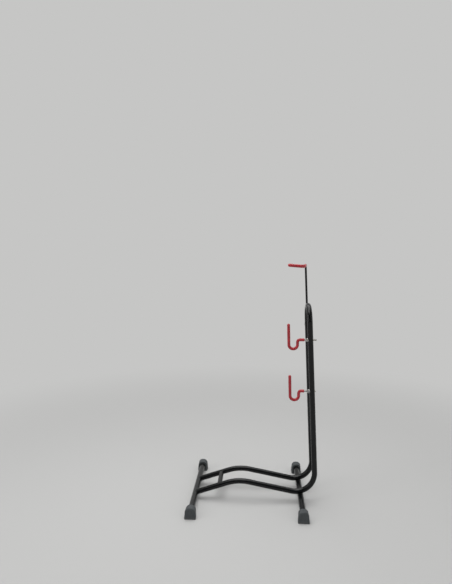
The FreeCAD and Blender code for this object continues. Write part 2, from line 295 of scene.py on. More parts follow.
def stacked(start, axis, side, lengths, radii, sides=64):
    """Rings at lengths along a straight axis from its start."""
    lengths = np.array(lengths, float)[:, None]
    directions = np.repeat(axis[None], len(lengths), 0)
    return carried(start + lengths * axis, directions, side, radii, sides)


def turned(start, axis, side, rings, outline=np.full(64, np.inf)):
    """A profile turned about an axis, within an outline that gives a radius for each angle.
    Each ring is (distance along the axis, radius)."""
    lengths = [length for length, radius in rings]
    radii = [np.minimum(radius, outline) for length, radius in rings]
    return stacked(start, axis, side, lengths, radii, len(outline))


def with_ends(line, radius, start, end):
    """A line's places, directions and radii, with its first and last place exchanged for end
    rings. Each end ring is (distance past that end, radius), in order from the line on."""
    places, directions = line
    start = np.array(start[::-1], float)
    end = np.array(end, float)
    before = places[0] - start[:, :1] * directions[0]
    after = places[-1] + end[:, :1] * directions[-1]
    all_places = np.vstack([before, places[1:-1], after])
    first = np.repeat(directions[:1], len(start), 0)
    last = np.repeat(directions[-1:], len(end), 0)
    all_directions = np.vstack([first, directions[1:-1], last])
    middle = np.full(len(places) - 2, radius)
    return all_places, all_directions, np.concatenate([start[:, 1], middle, end[:, 1]])


def open_end(radius, wall):
    """End rings of a tube whose rim is rounded and whose bore is seen inside."""
    bore = radius - wall
    lip = 0.4
    depth = 20.0
    return [
        (-lip, radius),
        (-0.3 * lip, radius - 0.3 * lip),
        (0, radius - lip),
        (0, bore + lip),
        (-0.3 * lip, bore + 0.3 * lip),
        (-lip, bore),
        (-depth, bore),
    ]


def domed_end(radius):
    """End rings of a half sphere: at the angle t, radius * sin(t) out and * cos(t) wide."""
    t = np.linspace(0, np.pi / 2, 11)[:-1]
    rings = [(radius * math.sin(a), radius * math.cos(a)) for a in t]
    return rings + [(radius * 0.998, radius * 0.06)]


def rolled_end(radius, roll, inner):
    """End rings of a flat end whose edge is rounded by a quarter circle."""
    t = np.linspace(0, np.pi / 2, 5)
    rings = [(roll * (math.sin(a) - 1), radius - roll * (1 - math.cos(a))) for a in t]
    return rings + [(0, inner)]


def welded_end(radius):
    """End rings of a tube closed with weld metal: a round edge and a low dome."""
    return [
        (-0.8, radius),
        (-0.3, radius - 0.12),
        (0, radius - 0.5),
        (0.25, radius - 1.3),
        (0.5, radius - 3.5),
        (0.6, radius * 0.2),
    ]


def surface(grid, loop=False):
    """Faces over a grid of rings. A ring wraps round, and its faces look outwards where the
    rings follow their direction. The last ring meets the first on a loop, and otherwise a
    pole at the middle of each end ring closes it."""
    rings, sides = grid.shape[:2]
    index = np.arange(rings * sides).reshape(rings, sides)
    lower = index if loop else index[:-1]
    upper = np.roll(index, -1, axis=0) if loop else index[1:]
    corners = [lower, np.roll(lower, -1, 1), np.roll(upper, -1, 1), upper]
    quads = np.stack(corners, -1).reshape(-1, 4)
    vertices = grid.reshape(-1, 3)
    if loop:
        return vertices, quads, np.zeros((0, 3), int)
    poles = np.array([grid[0].mean(0), grid[-1].mean(0)])
    first_pole = np.full(sides, len(vertices))
    start_fan = np.stack([first_pole, np.roll(index[0], -1), index[0]], -1)
    end_fan = np.stack([first_pole + 1, index[-1], np.roll(index[-1], -1)], -1)
    return np.vstack([vertices, poles]), quads, np.vstack([start_fan, end_fan])


def in_row_frame(points):
    """The stand's millimetres as metres in the row frame."""
    return ((points + [stand_middle, 0, 0]) / 1000).tolist()


def add_object(name, data):
    """A new object at the origin, linked to the scene."""
    added = bpy.data.objects.new(name, data)
    bpy.context.collection.objects.link(added)
    return added


def make_piece(name, surfaces, material, body, nodes, sharp_angle):
    """One object from its surfaces. It rides on a body and replaces CAD nodes."""
    points = []
    faces = []
    count = 0
    for vertices, quads, fans in surfaces:
        points.append(vertices)
        faces += (quads + count).tolist()
        faces += (fans + count).tolist()
        count += len(vertices)
    mesh = bpy.data.meshes.new(name)
    mesh.from_pydata(in_row_frame(np.vstack(points)), [], faces)
    mesh.polygons.foreach_set("use_smooth", np.ones(len(faces), bool))
    mesh.set_sharp_from_angle(angle=math.radians(sharp_angle))
    mesh.materials.append(material)
    piece = add_object(name, mesh)
    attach(piece, body)
    if nodes:
        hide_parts(*nodes)
    return piece


def cut_out(piece, cutter, sharp_angle):
    """Cuts a closed surface out of a piece, and keeps the cut mesh as the piece's own."""
    vertices, quads, fans = cutter
    mesh = bpy.data.meshes.new("cutter")
    mesh.from_pydata(in_row_frame(vertices), [], quads.tolist() + fans.tolist())
    tool = add_object("cutter", mesh)
    cut = piece.modifiers.new("cut", "BOOLEAN")
    cut.operation = "DIFFERENCE"
    cut.solver = "EXACT"
    cut.object = tool
    evaluated = piece.evaluated_get(bpy.context.evaluated_depsgraph_get())
    piece.data = bpy.data.meshes.new_from_object(evaluated)
    piece.data.set_sharp_from_angle(angle=math.radians(sharp_angle))
    piece.modifiers.clear()
    bpy.data.objects.remove(tool)


# Materials


def linear(code):
    """An sRGB hex colour as linear values: c / 12.92 below 0.04045, and otherwise
    ((c + 0.055) / 1.055) to the power 2.4."""
    c = np.array([int(code[i:i + 2], 16) for i in (1, 3, 5)]) / 255
    values = np.where(c <= 0.04045, c / 12.92, ((c + 0.055) / 1.055) ** 2.4)
    return (*values.tolist(), 1.0)


def add_node(tree, kind, inputs=None, settings=None):
    """Adds a node, sets its settings, and gives each input a value or a link."""
    node = tree.nodes.new(kind)
    for key, value in (settings or {}).items():
        setattr(node, key, value)
    for key, value in (inputs or {}).items():
        if isinstance(value, bpy.types.NodeSocket):
            tree.links.new(value, node.inputs[key])
        else:
            node.inputs[key].default_value = value
    return node


def start_material(name, values):
    """A material with its shader's plain values set, its nodes and its Object coordinates."""
    material = bpy.data.materials.new(name)
    material.use_nodes = True
    tree = material.node_tree
    for key, value in values.items():
        tree.nodes["Principled BSDF"].inputs[key].default_value = value
    return material, tree, add_node(tree, "ShaderNodeTexCoord").outputs["Object"]


def noise(tree, place, size, detail):
    """Noise whose features have a size in millimetres."""
    inputs = {"Vector": place, "Scale": 1000 / size, "Detail": detail}
    return add_node(tree, "ShaderNodeTexNoise", inputs).outputs["Fac"]


def ramp(tree, value, start, end, low, high, soft=False):
    """Goes from low to high while the value goes from start to end. A soft ramp starts and
    ends level."""
    inputs = {"Value": value, 1: start, 2: end, 3: low, 4: high}
    settings = {"interpolation_type": "SMOOTHSTEP" if soft else "LINEAR"}
    return add_node(tree, "ShaderNodeMapRange", inputs, settings).outputs["Result"]


def maths(tree, operation, first, second):
    """Two values joined by an operation."""
    node = add_node(tree, "ShaderNodeMath", {0: first, 1: second}, {"operation": operation})
    return node.outputs["Value"]


def component(tree, vector, letter):
    """The X, Y or Z of a vector."""
    return add_node(tree, "ShaderNodeSeparateXYZ", {"Vector": vector}).outputs[letter]


def blotches(tree, place, size, detail, low=0.0, high=1.0):
    """Soft blotches of a size in millimetres, as a value from low to high."""
    return ramp(tree, noise(tree, place, size, detail), 0.35, 0.65, low, high, soft=True)


def mixed(tree, share, low, high):
    """A colour between two, by a share from 0 to 1."""
    node = add_node(tree, "ShaderNodeMix", {0: share, 6: low, 7: high}, {"data_type": "RGBA"})
    return node.outputs[2]


def mixed_shader(tree, share, low, high):
    """A shader between two, by a share from 0 to 1."""
    node = add_node(tree, "ShaderNodeMixShader", {0: share, 1: low, 2: high})
    return node.outputs[0]


def grained(tree, place, size, height, previous=None):
    """Bumps of a size and a height in millimetres, on top of earlier ones."""
    bumps = noise(tree, place, size, 1.5)
    inputs = {"Height": bumps, "Distance": height / 1000, "Strength": 1.0}
    if previous is not None:
        inputs["Normal"] = previous
    return add_node(tree, "ShaderNodeBump", inputs).outputs["Normal"]


def mottled(tree, place, size, detail, dark, pale):
    """A colour that varies between two hex colours in blotches."""
    return mixed(tree, blotches(tree, place, size, detail), linear(dark), linear(pale))


def finished(material, colour, roughness, normal):
    """The material, with what its finish works out linked to its shader."""
    links = material.node_tree.links
    inputs = material.node_tree.nodes["Principled BSDF"].inputs
    links.new(colour, inputs["Base Color"])
    links.new(roughness, inputs["Roughness"])
    links.new(normal, inputs["Normal"])
    return material


def powder_coat(name, dark, pale, gloss, most_dust, level=0.3):
    """Polyester powder, sprayed on steel tube and baked. It flows to a thick gloss skin with
    orange peel, picks up fine rub marks, and gathers dust on what faces up near the floor."""
    material, tree, place = start_material(name, {"IOR": 1.5, "Specular IOR Level": level})
    normal = add_node(tree, "ShaderNodeNewGeometry").outputs["Normal"]
    facing_up = ramp(tree, component(tree, normal, "Z"), 0.6, 1, 0, 1)
    near_floor = ramp(tree, component(tree, place, "Z"), 0.03, 0.14, 1, 0)
    lying = maths(tree, "MULTIPLY", facing_up, near_floor)
    patches = blotches(tree, place, 5, 6, most_dust / 5, most_dust)
    dust = maths(tree, "MULTIPLY", lying, patches)
    colour = mixed(tree, dust, mottled(tree, place, 11, 6, dark, pale), linear("#6e6e6c"))
    # Rub marks are hair-fine. Upright streaks 3 mm wide and 17 mm long stand for them here
    stretch = {"Vector": place, "Scale": (330, 330, 60)}
    streaks = add_node(tree, "ShaderNodeMapping", stretch).outputs["Vector"]
    roughness = ramp(tree, noise(tree, streaks, 1000, 4), 0.4, 0.75, gloss, gloss + 0.07)
    # Orange peel is about 1.5 mm across, drawn twice as coarse so that it shows, with slow
    # waves of 22 mm
    peel = grained(tree, place, 3.0, 0.02)
    return finished(material, colour, roughness, grained(tree, place, 22, 0.08, peel))


def dipped_vinyl():
    """Plasticised PVC: the hot steel hook is dipped in the liquid and cured. The skin is soft,
    smooth and slightly wavy, with a soft gloss that handling dulls."""
    material, tree, place = start_material(
        "dipped_red_vinyl",
        {"IOR": 1.53, "Subsurface Weight": 0.12, "Subsurface Radius": (0.004, 0.001, 0.0008)},
    )
    colour = mottled(tree, place, 14, 3, "#9c1c26", "#ad2630")
    roughness = blotches(tree, place, 6, 4, 0.26, 0.36)
    # The dip sags in waves of about 8 mm, and dust specks of 1 mm are cured into it
    waves = grained(tree, place, 8, 0.25)
    return finished(material, colour, roughness, grained(tree, place, 1.2, 0.03, waves))


def bright_zinc():
    """Carbon steel, electroplated with zinc and passivated: a light, slightly milky metal
    with a faint warm and blue cast, dull where it has been handled."""
    material, tree, place = start_material("bright_zinc_plated_steel", {"Metallic": 1.0})
    colour = mottled(tree, place, 5, 3, "#c3c4c6", "#b9b5a8")
    roughness = blotches(tree, place, 2.5, 5, 0.24, 0.46)
    # The plating's own grain is some hundredths of a millimetre, drawn here at 0.6 mm
    return finished(material, colour, roughness, grained(tree, place, 0.6, 0.012))


def moulded_rubber():
    """Black rubber with grey filler, pressed in a blasted steel mould. It is matt, with a fine
    even grain, a bloom that lightens it, and dust on the sides near the floor."""
    material, tree, place = start_material("moulded_grey_rubber", {"IOR": 1.52})
    near_floor = ramp(tree, component(tree, place, "Z"), 0, 0.01, 0.3, 0)
    dust = maths(tree, "MULTIPLY", near_floor, blotches(tree, place, 5, 4, 0.2, 1))
    bloom = mottled(tree, place, 4, 7, "#3d4143", "#44484a")
    colour = mixed(tree, dust, bloom, linear("#7b7a76"))
    roughness = blotches(tree, place, 6, 6, 0.6, 0.72)
    # The blasted grain is about 0.3 mm, drawn at 0.9 mm so that it shows
    return finished(material, colour, roughness, grained(tree, place, 0.9, 0.12))


def black_nylon(name, dark, pale, grain):
    """Nylon moulded with carbon black: satin, from a spark-eroded mould, with worn high spots."""
    material, tree, place = start_material(name, {"IOR": 1.53})
    colour = mottled(tree, place, 6, 4, dark, pale)
    roughness = blotches(tree, place, 4, 4, 0.42, 0.6)
    return finished(material, colour, roughness, grained(tree, place, grain, 0.05))


def natural_nylon():
    """Undyed nylon, moulded: milky, slightly clear, with a waxy gloss."""
    material, tree, place = start_material(
        "natural_nylon",
        {"IOR": 1.53, "Subsurface Weight": 0.3, "Subsurface Radius": (0.002, 0.002, 0.0015)},
    )
    colour = mottled(tree, place, 8, 3, "#d6d2c4", "#cbc6b4")
    roughness = blotches(tree, place, 3, 3, 0.35, 0.5)
    return finished(material, colour, roughness, grained(tree, place, 1.0, 0.02))


hoop_coat = powder_coat("black_powder_coat_hoop", "#0b0c0d", "#111213", 0.17, 0.02)
left_bar_coat = powder_coat("dusty_powder_coat_left_bar", "#0d0e0f", "#131415", 0.22, 0.1)
# The right bar's coat is darker than the left bar's, with a weaker reflection and less dust:
# painted shade, standing for a tyre above the right bar that shades it
painted_shade_right_bar_coat = powder_coat(
    "black_powder_coat_right_bar_painted_shade", "#090a0b", "#0f1011", 0.17, 0.01, level=0.14
)
rod_coat = powder_coat("satin_black_rod_coat", "#0b0b0c", "#101011", 0.32, 0.02)
vinyl = dipped_vinyl()
zinc = bright_zinc()
rubber = moulded_rubber()
bush_nylon = black_nylon("black_nylon_bush", "#1a1a1c", "#242426", 0.8)
knob_nylon = black_nylon("black_nylon_knob", "#18181a", "#222224", 1.1)
pale_nylon = natural_nylon()


# The hoop, the crossbars, the rest tube and their welds


def hoop_surface():
    """The tube carried along rail, corner, column, arch, column, corner and rail."""
    end_x = -crossbar_x + rail_end_setback
    crest_gap = right_rail_height(0) - left_rail_height(0)
    crest_x = crest_gap / (math.tan(rise) + math.tan(fall))
    foot_gap = column_x + math.tan(lean) * (corner_z - right_rail_height(0))
    foot_x = foot_gap / (1 - math.tan(lean) * math.tan(fall))
    sides = []
    for side in (near, far):
        sides.append([
            [end_x, side * side_y, left_rail_height(end_x)],
            [crest_x, side * side_y, left_rail_height(crest_x)],
            [foot_x, side * side_y, right_rail_height(foot_x)],
            column_point(arch_height, side),
        ])
    corners = sides[0] + sides[1][::-1]
    radii = [0, crest_radius, corner_radius, arch_radius]
    line = rounded_line(corners, radii + radii[::-1], arc_steps=42, run_steps=18)
    closed = welded_end(hoop_radius)
    places, directions, ring_radii = with_ends(line, hoop_radius, closed, closed)
    return surface(carried(places, directions, X + Y, ring_radii, 72))


def cross_line(x, reach, height):
    """A straight line across the stand."""
    return rounded_line([[x, -reach, height], [x, reach, height]], [])


def crossbar_surface(x):
    """A plain tube with rounded rims and open bores."""
    rim = open_end(crossbar_radius, crossbar_wall)
    line = cross_line(x, crossbar_end, crossbar_height)
    places, directions, radii = with_ends(line, crossbar_radius, rim, rim)
    return surface(carried(places, directions, X, radii, 72))


def tyre_rest_surface():
    """A plain tube whose ends run to the rails' axes."""
    line = cross_line(tyre_rest_x, side_y, left_rail_height(tyre_rest_x))
    return surface(carried(*line, X, tyre_rest_radius))


def bead(places, radius, outward, loop):
    """A weld bead: a round rope along a line, whose radius swells a little at each step of the
    puddle. An open bead's radius falls to its ends, more bluntly than a half circle does."""
    ahead = np.roll(places, -1, 0) - np.roll(places, 1, 0)
    length = distances(places)
    swell = 1 + bead_swell * np.sin(2 * np.pi * length / bead_pitch)
    if not loop:
        ahead[0] = places[1] - places[0]
        ahead[-1] = places[-1] - places[-2]
        share = np.clip(2 * length / length[-1] - 1, -0.995, 0.995)
        swell = swell * (1 - share ** 2) ** 0.35
    return surface(carried(places, unit(ahead), outward, radius * swell, 14), loop)


def joint_bead(centre, outward, along, small, radius):
    """The bead where a round bar of a small radius runs squarely into the hoop's tube. At the
    angle a it is small * cos(a) along the tube, b = small * sin(a) across it, and
    sqrt(R^2 - b^2) out from its axis."""
    across = np.cross(outward, along)
    a = ring_angles(90)[:, None]
    b = small * np.sin(a)
    out = np.sqrt(hoop_radius ** 2 - b ** 2)
    loop = centre + small * np.cos(a) * along + b * across + out * outward
    return bead(loop, radius, unit(loop - loop.mean(0)), True)


def rail_end_loop(side):
    """The line where a rail runs into the left crossbar, and the middle of the rail's end. The
    rail's line at the angle a lies h = offset + R * sin(a) above the crossbar's axis, square
    to the rail, and meets the crossbar sqrt(r^2 - h^2) to its right. Above the rail's cut end
    the line goes straight across."""
    way, square = sloped(rise)
    drop = rail_end_height - crossbar_height
    offset = drop * math.cos(rise)
    end_run = rail_end_setback / math.cos(rise) + drop * math.sin(rise)
    top = math.sqrt(crossbar_radius ** 2 - end_run ** 2)
    limit = math.asin((top - offset) / hoop_radius)
    a = np.linspace(math.pi - limit, 2 * math.pi + limit, 110)[:, None]
    h = offset + hoop_radius * np.sin(a)
    run = np.sqrt(np.clip(crossbar_radius ** 2 - h ** 2, 0, None))
    axis = np.array([-crossbar_x, side * side_y, crossbar_height])
    seam = axis + h * square + run * way + hoop_radius * np.cos(a) * Y
    share = np.linspace(0, 1, 26)[1:-1, None]
    across = seam[-1] + (seam[0] - seam[-1]) * share
    return np.vstack([seam, across]), axis + offset * square + end_run * way


def seat_bead(side, offset):
    """The short bead between a corner bend and the right crossbar, on one side of the tube.
    It sinks at its ends as the crossbar falls away: x^2 / (2 r)."""
    way, square = sloped(seat)
    axis = np.array([crossbar_x, side * side_y + offset, crossbar_height])
    run = np.linspace(-seat_bead_half_length, seat_bead_half_length, 60)[:, None]
    lift = crossbar_radius + seat_bead_lift - run ** 2 / (2 * crossbar_radius)
    return bead(axis + run * way + lift * square, seat_bead_radius, Y, False)


def weld_surfaces():
    """Beads at the rails' cut ends, on the right crossbar, at the rest tube and at the boss."""
    rail_way = sloped(rise)[0]
    beads = []
    for side in (near, far):
        loop, middle = rail_end_loop(side)
        beads.append(bead(loop, rail_end_bead_radius, unit(loop - middle), True))
        beads.append(seat_bead(side, seat_bead_offset))
        beads.append(seat_bead(side, -seat_bead_offset))
        rail = np.array([tyre_rest_x, side * side_y, left_rail_height(tyre_rest_x)])
        ring_radius = tyre_rest_radius + 0.3
        beads.append(joint_bead(rail, -side * Y, rail_way, ring_radius, rest_bead_radius))
    ring_radius = boss_radius + 0.2
    beads.append(joint_bead(lock_axis(side_y), Y, column_up, ring_radius, boss_bead_radius))
    return beads


# The hoop's wall is open under the boss, where the pad comes through to the rod
shape = [hoop_surface()]
hoop = make_piece(
    "hoop_tube", shape, hoop_coat, "frame", ["hoop_frame"], tube_edge
)
bore_rings = [(lock_bore_floor, lock_bore_radius), (hoop_radius + 1, lock_bore_radius)]
cut_out(hoop, surface(turned(lock_axis(side_y), Y, X, bore_rings)), tube_edge)

for node, x, coat in (
    ("left_crossbar", -crossbar_x, left_bar_coat),
    ("right_crossbar", crossbar_x, painted_shade_right_bar_coat),
):
    shape = [crossbar_surface(x)]
    make_piece(node + "_tube", shape, coat, "frame", [node], tube_edge)

shape = [tyre_rest_surface()]
make_piece("tyre_rest_tube", shape, hoop_coat, "frame", ["tyre_rest"], tube_edge)
make_piece("weld_beads", weld_surfaces(), hoop_coat, "frame", [], bead_edge)


# The rubber boots


def boot_section(floor_width, top_width, height):
    """Perimeter of an arch that spreads to a flat sole, from the sole's middle, as
    (across, height): a trapezoid with round corners."""
    half = floor_width / 2
    corners = [
        [0, 0, 0],
        [half, 0, 0],
        [top_width / 2, height, 0],
        [-top_width / 2, height, 0],
        [-half, 0, 0],
        [0, 0, 0],
    ]
    radii = [0, boot_sole_corner, boot_top_corner, boot_top_corner, boot_sole_corner, 0]
    line = rounded_line(corners, radii, arc_steps=12, run_steps=12)
    return line[0][:-1, :2]


def boot_surface(x, side):
    """A boot: its section goes straight from the mouth's to the end's. At the outer end it
    shrinks as two quarter circles do, one seen from above and one from the side, and the
    mouth's edge is a quarter circle too."""
    mouth_y = boot_end - boot_length
    mouth = boot_section(boot_mouth_floor_width, boot_mouth_top_width, boot_mouth_height)
    end = boot_section(boot_floor_width, boot_top_width, boot_height)
    middle = np.array([0, crossbar_height])

    t = np.linspace(0, np.pi / 2, 8)
    edge = boot_mouth_round * (1 - np.cos(t))
    body = np.linspace(boot_mouth_round + 0.3, boot_length - boot_top_round, 90)
    t = np.linspace(0, np.pi / 2, 20)[1:]
    run = np.concatenate([edge, body, boot_length - boot_top_round * (1 - np.sin(t))])
    sections = mouth + (end - mouth) * (run / boot_length)[:, None, None]

    beyond = np.clip(run - (boot_length - boot_side_round), 0, boot_side_round)
    narrow = boot_side_round - np.sqrt(boot_side_round ** 2 - beyond ** 2)
    beyond = np.clip(run - (boot_length - boot_top_round), 0, boot_top_round)
    lower = boot_top_round - np.sqrt(boot_top_round ** 2 - beyond ** 2)
    sections[..., 0] *= (1 - 2 * narrow / boot_floor_width)[:, None]
    sections[..., 1] *= (1 - lower / boot_height)[:, None]

    # The grooves run across the sole
    pulse = np.zeros_like(run)
    for groove in groove_pitch * np.arange(1, groove_count + 1):
        pulse = np.maximum(pulse, np.clip(groove_reach - np.abs(run - groove), 0, 1))
    to_end = groove_half_length - np.abs(sections[..., 0])
    inner = np.clip(to_end / groove_fade, 0, 1)
    on_sole = sections[..., 1] < 0.01
    sections[..., 1] += np.where(on_sole, groove_depth * pulse[:, None] * inner, 0)

    before = np.clip(boot_mouth_round - run, 0, boot_mouth_round)
    inset = boot_mouth_round - np.sqrt(boot_mouth_round ** 2 - before ** 2)
    shrink = 1 - inset / (boot_mouth_top_width / 2)
    sections = middle + (sections - middle) * shrink[:, None, None]

    def ring(section, ring_run):
        """A section as a ring, so far in from the mouth."""
        y = np.full(len(section), mouth_y + ring_run)
        return np.column_stack([section[:, 0], y, section[:, 1]])

    # The socket hugs the crossbar and opens to the mouth: (gap to the crossbar, depth)
    angle = np.arctan2(mouth[:, 1] - crossbar_height, mouth[:, 0])
    circle = np.column_stack([np.cos(angle), np.sin(angle)])
    socket = [(0.05, 8.0), (0.05, 1.0), (0.3, 0.4), (0.9, 0.1), (1.6, 0.0)]
    rings = [ring(middle + circle * (crossbar_radius + gap), depth) for gap, depth in socket]
    rings += [ring(section, place) for section, place in zip(sections, run)]

    # The outer face closes in smaller and smaller rings
    face = sections[-1].mean(0)
    for share in (0.9, 0.7, 0.4, 0.15):
        rings.append(ring(face + (sections[-1] - face) * share, boot_length))
    grid = np.array(rings)
    if side == near:
        grid[..., 1] *= -1
    else:
        grid = grid[::-1]
    return surface(grid + [x, 0, 0])


for side_name, side in (("near", near), ("far", far)):
    for end_name, x in (("left", -crossbar_x), ("right", crossbar_x)):
        node = side_name + "_" + end_name + "_boot"
        shape = [boot_surface(x, side)]
        make_piece(node + "_rubber", shape, rubber, "frame", [node], boot_edge)


# The J hooks


def thread_radii(length, radius, sides):
    """Radius of a right-hand thread at each length and angle. A wave rises evenly from root to
    crest and back once a pitch and moves on by a pitch each turn, and its crests are flat. A
    cone cuts the thread down at its point."""
    phase = length[:, None] / thread_pitch - ring_angles(sides) / (2 * np.pi)
    wave = np.abs(2 * (phase % 1) - 1)
    crest = np.clip(1.2 * wave - 0.05, 0, 1)
    past_point = np.clip(length / thread_point, 0, 1)[:, None]
    cone = radius - thread_depth + 0.1 + past_point * thread_depth
    return np.minimum(radius - thread_depth * (1 - crest), cone)


def hook_corners(size, start):
    """Corners and radii of a J hook's centre line, from a start to the left of the column."""
    height = size["height"]
    column = column_point(height, near)
    riser_x = column[0] - size["reach"]
    upright_x = riser_x - 2 * hook_throat
    top_x = upright_x - math.tan(hook_lean) * (hook_drop + hook_rise)
    corners = [
        [column[0] - start, column[1], height],
        [riser_x, column[1], height],
        [riser_x, column[1], height - hook_drop],
        [upright_x, column[1], height - hook_drop],
        [top_x, column[1], height + hook_rise],
    ]
    return corners, [0, hook_elbow, hook_throat, hook_throat, 0]


def hook_rod_surface(size):
    """A threaded shank that runs on as a plain rod inside the vinyl."""
    sides = 48
    thread_end = size["sleeve_start"] + 2
    plain_start = size["sleeve_start"] + 3
    length = np.arange(0, size["tail"] + thread_end, thread_step)
    tail = column_point(size["height"], near) + size["tail"] * X
    threads = thread_radii(length, hook_rod_radius, sides)
    shank = stacked(tail, -X, Y, length, threads, sides)
    corners, bends = hook_corners(size, plain_start)
    bent = rounded_line(corners, bends, arc_steps=24, run_steps=6)
    return surface(np.vstack([shank, carried(*bent, Y, hook_rod_radius, sides)]))


def vinyl_surface(line, side, radius, rod, roll, waves):
    """A vinyl skin on a rod. Two slow waves take up to 0.2 mm off its radius, as a dip runs
    off. They fade to its rolled start and to its end, a half sphere."""
    start = rolled_end(radius, roll, rod - 0.2)
    places, directions, radii = with_ends(line, radius, start, domed_end(radius))
    length = distances(places)
    long_wave, short_wave, shift = waves
    swing = sleeve_long_swing * (np.sin(length / long_wave) - 1)
    swing += sleeve_short_swing * (np.sin(length / short_wave + shift) - 1)
    fade_in = np.clip(length / 8, 0, 1)
    fade_out = np.clip((length[-1] - length) / 12, 0, 1)
    return surface(carried(places, directions, side, radii + swing * fade_in * fade_out))


def hook_sleeve_surface(size):
    """The skin of a J hook."""
    corners, bends = hook_corners(size, size["sleeve_start"])
    line = rounded_line(corners, bends, arc_steps=44, run_steps=14)
    return vinyl_surface(
        line, Y, hook_sleeve_radius, hook_rod_radius, hook_sleeve_roll, hook_sleeve_waves
    )


def saddle_surface(height):
    """A washer with a flat left face, whose right face follows the column: at b across it, the
    face lies sqrt(R^2 - b^2) from the column's axis, which leans."""
    column = column_point(height, near)
    a = ring_angles(72)
    edge = 0.25
    chamfer = 0.2

    def ring(radius, flat, inset=0.0):
        """A ring of the flat face, or of the column's."""
        b = radius * np.cos(a)
        z = radius * np.sin(a)
        left = (saddle_back - inset) * np.ones_like(a)
        right = np.sqrt(saddle_follow ** 2 - b ** 2) + math.tan(lean) * z + inset
        x = left if flat else right
        return np.column_stack([column[0] - x, column[1] + b, height + z])

    rings = [
        ring(washer_hole, False),
        ring(saddle_radius - edge, False),
        ring(saddle_radius, False, edge),
        ring(saddle_radius, True, edge),
        ring(saddle_radius - edge, True),
        ring(washer_hole + chamfer, True),
        ring(washer_hole, True, chamfer),
    ]
    return surface(np.array(rings)[:, ::-1], loop=True)


def washer_surface(height):
    """A stamped washer, with one edge rolled by the punch."""
    t = washer_thickness
    rings = [
        (0.15, washer_hole),
        (0, washer_hole + 0.15),
        (0, washer_radius - 0.35),
        (0.1, washer_radius - 0.1),
        (0.35, washer_radius),
        (t - 0.1, washer_radius),
        (t, washer_radius - 0.1),
        (t, washer_hole + 0.15),
        (t - 0.15, washer_hole),
    ]
    start = column_point(height, near) - washer_start * X
    return surface(turned(start, -X, Y, rings), loop=True)


def nut_surface(height):
    """A hexagon nut: at the angle a the flats lie flat / cos(a') from the axis, a' being the
    angle from the middle of the nearest flat. Cones cut both faces' corners."""
    a = ring_angles(96)
    nearest = (a + np.pi / 6) % (np.pi / 3) - np.pi / 6
    hexagon = nut_flat / np.cos(nearest)
    corner = nut_flat / math.cos(np.pi / 6)
    cut = 0.6
    depth = np.concatenate([np.linspace(0, cut, 7), np.linspace(2 * cut, nut_height / 2, 4)])
    cone = nut_flat - 0.15 + (corner - nut_flat + 0.2) * depth / cut
    hole = hook_rod_radius + 0.05
    rings = [(0, hole + 0.45), (0, nut_flat - 0.6), *zip(depth, cone)]
    rings += [(nut_height - length, radius) for length, radius in rings[-2::-1]]
    rings += [(nut_height - 0.5, hole), (nut_height / 2, hole), (0.5, hole)]
    start = column_point(height, near) - nut_start * X
    return surface(turned(start, -X, Z, rings, hexagon), loop=True)


def hook_bush_surfaces(height):
    """The two ends of the bush. Each stands proud of the column and follows its round: a ring
    of radius r at the level L lies sqrt(L^2 - b^2) from the column's axis."""
    top = hoop_radius + hook_bush_proud
    hole = hook_rod_radius + 0.1
    rings = [
        (hook_bush_radius, hoop_bore),
        (hook_bush_radius, top - 0.13),
        (hook_bush_radius - 0.25, top),
        (hole + 0.45, top),
        (hole, top - 0.35),
        (hole, hoop_bore),
    ]
    column = column_point(height, near)
    return [seated_rings(column, way, column_up, rings) for way in (X, -X)]


def seated_rings(centre, outward, along, rings):
    """Rings round an outward axis that follow a tube of the level L about the line `along`."""
    rings = np.array(rings, float)[:, :, None]
    across = np.cross(outward, along)
    a = ring_angles(64)[None]
    b = rings[:, 0] * np.sin(a)
    out = np.sqrt(rings[:, 1] ** 2 - b ** 2)
    run = rings[:, 0] * np.cos(a)
    grid = centre + run[..., None] * along + b[..., None] * across + out[..., None] * outward
    return surface(grid)


for which, size in hook_sizes.items():
    body = which + "_hook"
    height = size["height"]
    for node, shape, material, rides, slot in (
        ("hook_rod", [hook_rod_surface(size)], zinc, body, "zinc_steel"),
        ("hook_sleeve", [hook_sleeve_surface(size)], vinyl, body, "red_vinyl"),
        ("saddle_washer", [saddle_surface(height)], zinc, which + "_saddle", "zinc_steel"),
        ("flat_washer", [washer_surface(height)], zinc, which + "_flat", "zinc_steel"),
        ("lock_nut", [nut_surface(height)], zinc, which + "_nut", "zinc_steel"),
        ("hook_bush", hook_bush_surfaces(height), zinc, "frame", "zinc_steel"),
    ):
        full = which + "_" + node
        make_piece(full + "_finished", shape, material, rides, [full], fitting_edge)


# The sliding rod, its hook, its bush and its lock


def rod_corners():
    """Corners of the rod's line at its top, at the hook's bend and at the tip."""
    top = column_point(rod_top, far)
    bend = top + [-top_hook_skew, -top_hook_run, -top_hook_dip]
    tip = bend + [-top_hook_reach, 0, top_hook_lift]
    return top, bend, tip


def rod_surface():
    """A round rod with a thinner spigot at its foot."""
    corners = [column_point(rod_foot, far), *rod_corners()]
    line = rounded_line(corners, [0, rod_top_bend, top_hook_bend, 0])
    edge = 0.4
    tip = [(-edge, rod_radius), (0, rod_radius - edge)]
    foot = [
        *tip,
        (0, spigot_radius),
        (spigot_length - edge, spigot_radius),
        (spigot_length, spigot_radius - edge),
    ]
    places, directions, radii = with_ends(line, rod_radius, foot, tip)
    return surface(carried(places, directions, X + Z, radii, 48))


def top_sleeve_surface():
    """The skin of the rod's hook."""
    top, bend, tip = rod_corners()
    start = top + unit(bend - top) * top_sleeve_start
    line = rounded_line([start, bend, tip], [0, top_hook_bend, 0], arc_steps=44, run_steps=18)
    return vinyl_surface(
        line, X + Z, top_sleeve_radius, rod_radius, top_sleeve_roll, top_sleeve_waves
    )


